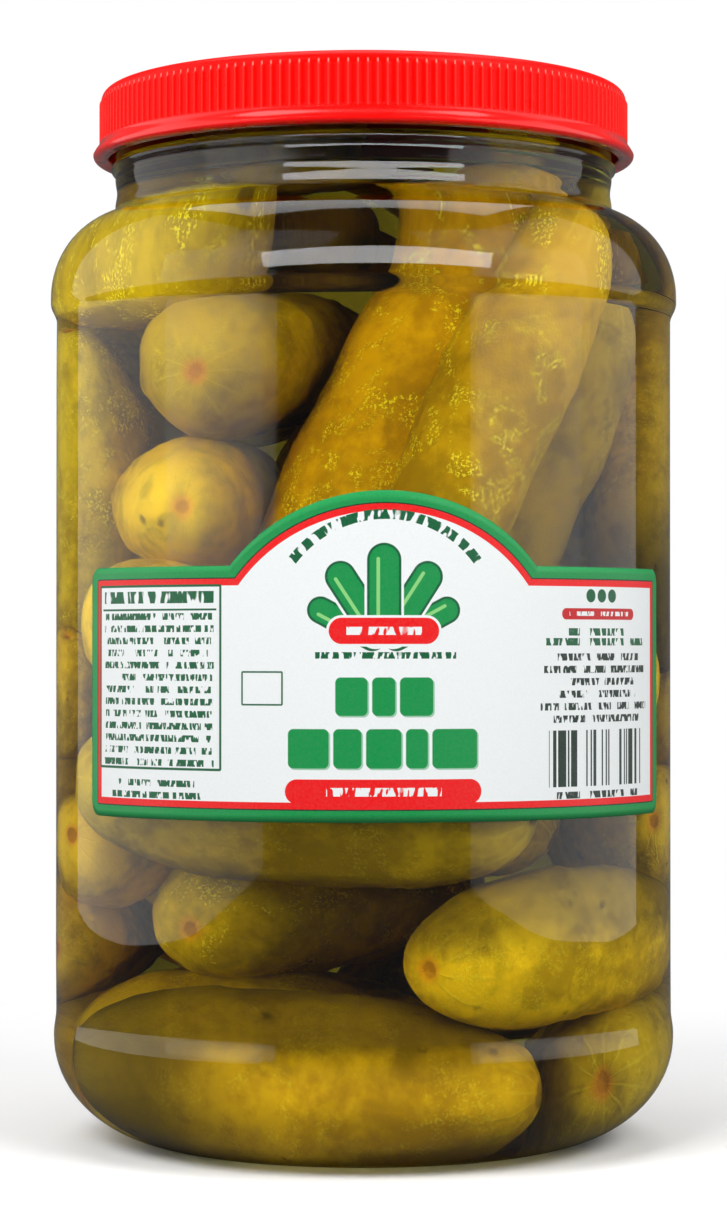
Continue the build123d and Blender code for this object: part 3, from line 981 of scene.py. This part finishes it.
def disc_distance(tree, s, z, middle, radius):
    """Distance in mm from a disc, below zero inside it."""
    across = less(tree, s, middle[0])
    up = less(tree, z, middle[1])
    far = sums(tree, "MULTIPLY_ADD", up, up, product(tree, across, across))
    return less(tree, sums(tree, "SQRT", far), radius)


def inked(tree, distance, low=-0.06, high=0.06):
    """One inside a shape, nought outside it, with a soft edge."""
    return ramp(tree, distance, low, high, 1.0, 0.0)


bars, given, gives = new_group(
    "print_rows",
    [("S", "Float"), ("Z", "Float"), ("Middle", "Float"), ("Half", "Float"), ("Top", "Float"),
     ("Pitch", "Float"), ("Height", "Float"), ("Rows", "Float"), ("Ragged", "Float"),
     ("Stroke", "Float")],
    [("Mask", "Float")],
)
down = sums(bars, "DIVIDE", less(bars, given["Top"], given["Z"]), given["Pitch"])
row = sums(bars, "FLOOR", down)
in_row = product(bars, sums(bars, "FRACT", down), given["Pitch"])
mask = sums(bars, "LESS_THAN", in_row, given["Height"])
mask = product(bars, mask, sums(bars, "GREATER_THAN", row, -0.5))
mask = product(bars, mask, sums(bars, "LESS_THAN", row, given["Rows"]))
chance = bars.nodes.new("ShaderNodeTexWhiteNoise")
chance.noise_dimensions = "1D"
bars.links.new(row, chance.inputs["W"])
width = product(bars, chance.outputs["Value"], given["Ragged"])
width = less(bars, given["Half"], width)
off = sums(bars, "ABSOLUTE", less(bars, given["S"], given["Middle"]))
mask = product(bars, mask, sums(bars, "LESS_THAN", off, width))
letters = sums(bars, "DIVIDE", given["S"], given["Stroke"])
tall = sums(bars, "DIVIDE", in_row, given["Stroke"])


def marks(across, up, low, high):
    """Two-dimensional noise over the row's own coordinates, cut to black and white."""
    spot = bars.nodes.new("ShaderNodeCombineXYZ")
    bars.links.new(across, spot.inputs[0])
    bars.links.new(up, spot.inputs[1])
    field = bars.nodes.new("ShaderNodeTexNoise")
    field.noise_dimensions = "2D"
    field.inputs["Scale"].default_value = 1.0
    field.inputs["Detail"].default_value = 1.0
    bars.links.new(spot.outputs[0], field.inputs["Vector"])
    return ramp(bars, field.outputs[0], low, high)


up = sums(bars, "MULTIPLY_ADD", tall, 0.3, product(bars, row, 7.37))
mask = product(bars, mask, marks(letters, up, 0.43, 0.49))
apart = product(bars, letters, 0.2)
mask = product(bars, mask, marks(apart, product(bars, row, 3.1), 0.36, 0.38))
bars.links.new(mask, gives["Mask"])

film, tree, out = new_material("label_print")
place = tree.nodes.new("ShaderNodeSeparateXYZ")
tree.links.new(tree.nodes.new("ShaderNodeTexCoord").outputs["UV"], place.inputs[0])
s = product(tree, place.outputs[0], 100.0)
z = product(tree, place.outputs[1], 100.0)
rim = box_distance(tree, s, z, (0, (LOW_Z + HIGH_Z) / 2), (HALF_W, (HIGH_Z - LOW_Z) / 2), CORNER)
arch = disc_distance(tree, s, z, (ARCH_S, ARCH_Z), ARCH_R)
arch = sums(tree, "MAXIMUM", arch, less(tree, 110.0, z))
rim = sums(tree, "MINIMUM", rim, arch)
colour = blend(tree, inked(tree, sums(tree, "ADD", rim, 2.35)), GREEN, BORDER_LINE)
colour = blend(tree, inked(tree, sums(tree, "ADD", rim, 2.6)), colour, RED)
colour = blend(tree, inked(tree, sums(tree, "ADD", rim, 3.95)), colour, PAPER)


def box(middle, half, corner, ink, line=None):
    """Prints a rounded box over the label so far, filled or as an outline line mm wide."""
    global colour
    distance = box_distance(tree, s, z, middle, half, corner)
    if line is not None:
        distance = less(tree, sums(tree, "ABSOLUTE", distance), line / 2)
    colour = blend(tree, inked(tree, distance), colour, ink)


def rows_of(middle, half, top, pitch, height, count, ragged, stroke, ink, along=None, up=None):
    """Prints rows of short upright strokes that stand for small print."""
    global colour
    node = tree.nodes.new("ShaderNodeGroup")
    node.node_tree = bars
    tree.links.new(s if along is None else along, node.inputs["S"])
    tree.links.new(z if up is None else up, node.inputs["Z"])
    values = (middle, half, top, pitch, height, count - 0.5, ragged, stroke)
    for socket, value in zip(list(node.inputs)[2:], values):
        socket.default_value = value
    colour = blend(tree, node.outputs["Mask"], colour, ink)


MIDDLE = -1.6
LEFT = -51.9
RIGHT = 48.7
# the bundle of cucumbers with its band
for lean, reach, thick in ((-62, 17, 2.7), (62, 17, 2.7), (-33, 19, 3.1), (33, 19, 3.1), (0, 20, 3.4)):
    way = (np.sin(np.radians(lean)), np.cos(np.radians(lean)))
    across = less(tree, s, MIDDLE)
    up = less(tree, z, 107.0)
    ahead = sums(tree, "MULTIPLY_ADD", across, way[0], product(tree, up, way[1]))
    aside = sums(tree, "MULTIPLY_ADD", across, way[1], product(tree, up, -way[0]))
    shape = box_distance(tree, aside, ahead, (0, reach / 2), (thick, reach / 2), thick)
    colour = blend(tree, inked(tree, less(tree, shape, 0.5)), colour, PAPER)
    colour = blend(tree, inked(tree, shape), colour, DEEP_GREEN)
    colour = blend(tree, inked(tree, sums(tree, "ADD", shape, 0.5)), colour, GREEN)
    glint = box_distance(tree, aside, ahead, (-0.35 * thick, reach * 0.56), (0.35, reach * 0.3), 0.35)
    colour = blend(tree, inked(tree, glint), colour, STALK_GREEN)
box((MIDDLE, 109.6), (11.5, 3.1), 3.1, PAPER)
box((MIDDLE, 109.6), (11.0, 2.6), 2.6, RED)
rows_of(MIDDLE, 7.5, 110.4, 3.0, 1.6, 1, 0, 1.5, PAPER)
# the arched row over it
across = less(tree, s, -1.25)
up = less(tree, z, 109.1)
round_s = product(tree, sums(tree, "ARCTAN2", across, up), 22.4)
round_z = disc_distance(tree, s, z, (-1.25, 109.1), 0.0)
rows_of(0.0, 20.5, 24.6, 4.0, 2.0, 1, 0, 1.3, DEEP_GREEN, round_s, round_z)
rows_of(MIDDLE, 14.5, 105.4, 4.0, 1.3, 1, 0, 0.9, DEEP_GREEN)
# two rows of plain blocks where the large words would be
BLOCK_GAP = 0.9
for left, low, high, widths in (
    (-11.3, 92.8, 100.4, (6.4, 4.6, 6.7)),
    (-20.8, 82.4, 90.2, (8.2, 5.6, 7.0, 4.4, 9.3)),
):
    for width in widths:
        middle = (left + width / 2, (low + high) / 2)
        half = (width / 2, (high - low) / 2)
        box((middle[0] + 0.3, middle[1] - 0.3), half, 1.1, BLOCK_SHADOW)
        box(middle, half, 1.1, GREEN)
        left += width + BLOCK_GAP
box((MIDDLE, 77.8), (19.8, 2.45), 2.4, RED)
rows_of(MIDDLE, 11.5, 78.6, 3.0, 1.7, 1, 0, 1.1, PAPER)
# left: an outlined panel of small print and two rows under it; a bare outlined square
box((LEFT, 100.3), (16.7, 18.4), 0.2, DEEP_GREEN, 0.5)
rows_of(LEFT, 15.2, 117.6, 4.0, 2.4, 1, 0, 1.9, DEEP_GREEN)
box((LEFT, 113.9), (15.8, 0.2), 0.05, DEEP_GREEN)
rows_of(LEFT, 15.3, 113.2, 2.45, 1.35, 13, 0.8, 0.75, DEEP_GREEN)
rows_of(LEFT, 13.0, 79.6, 2.4, 1.3, 2, 4.0, 0.9, DEEP_GREEN)
box((-26.2, 98.2), (4.2, 3.25), 0.2, DEEP_GREEN, 0.35)
# right: three dots, a small pill, small print and bars
for middle in (45.3, 48.7, 52.1):
    box((middle, 116.8), (1.35, 1.35), 1.3, DEEP_GREEN)
box((RIGHT, 113.1), (11.5, 1.15), 1.1, PILL_RED)
rows_of(RIGHT, 9.5, 113.6, 3.0, 0.9, 1, 0, 0.7, PAPER)
rows_of(48.6, 9.6, 110.2, 3.0, 1.5, 1, 0, 1.0, DEEP_GREEN)
rows_of(RIGHT, 15.6, 108.2, 3.0, 1.5, 1, 0, 1.0, DEEP_GREEN)
rows_of(RIGHT, 17.0, 105.1, 2.5, 1.45, 6, 6.0, 0.8, INK)
chance = tree.nodes.new("ShaderNodeTexWhiteNoise")
chance.noise_dimensions = "1D"
tree.links.new(sums(tree, "FLOOR", sums(tree, "DIVIDE", s, 0.43)), chance.inputs["W"])
stripes = sums(tree, "GREATER_THAN", chance.outputs["Value"], 0.46)
field = box_distance(tree, s, z, (48.8, 83.9), (15.0, 5.7), 0.05)
colour = blend(tree, product(tree, stripes, inked(tree, field)), colour, INK)
rows_of(48.8, 13.0, 77.2, 3.0, 1.4, 1, 0, 1.0, INK)

coat = tree.nodes.new("ShaderNodeBsdfPrincipled")
spot = tree.nodes.new("ShaderNodeTexCoord").outputs["Object"]
fibre = noise(tree, spot, 0.4, 3)
ripple = noise(tree, spot, 14, 2)
colour = blend(tree, ramp(tree, fibre, 0.3, 0.7, 0.0, 0.06), colour, DUST)
tree.links.new(colour, coat.inputs["Base Color"])
tree.links.new(ramp(tree, ripple, 0.3, 0.7, 0.42, 0.55), coat.inputs["Roughness"])
bump = tree.nodes.new("ShaderNodeBump")
bump.inputs["Strength"].default_value = 0.25
bump.inputs["Distance"].default_value = 0.15 * MM
tree.links.new(sums(tree, "MULTIPLY_ADD", fibre, 0.15, ripple), bump.inputs["Height"])
tree.links.new(bump.outputs["Normal"], coat.inputs["Normal"])
tree.links.new(coat.outputs[0], out.inputs["Surface"])
mesh.materials.append(film)
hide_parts("label")
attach(label, "root")
